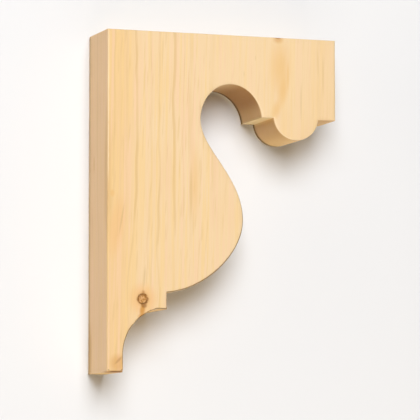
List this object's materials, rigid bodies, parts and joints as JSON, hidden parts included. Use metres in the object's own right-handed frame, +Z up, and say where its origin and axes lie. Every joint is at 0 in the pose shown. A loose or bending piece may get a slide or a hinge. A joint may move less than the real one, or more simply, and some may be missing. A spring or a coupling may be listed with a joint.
{
  "type": "wooden corbel bracket",
  "caption": "Scrolled pine corbel bracket: a thick sawn board with an arched arm, round drop, swelling belly and hollow foot, for carrying a shelf from a wall.",
  "frame": {"origin": "middle of the flat wall face, half way up the bracket and half way across its thickness", "axes": "+X out from the wall along the arm, +Y across the thickness of the board, +Z up to the shelf face"},
  "size_m": [0.181, 0.047, 0.254],
  "materials": {
    "pine": "bare sanded pine, matt, straight grain with one tight knot"
  },
  "bodies": {
    "root": {"corbel_bracket": "pine"}
  },
  "joints": []
}
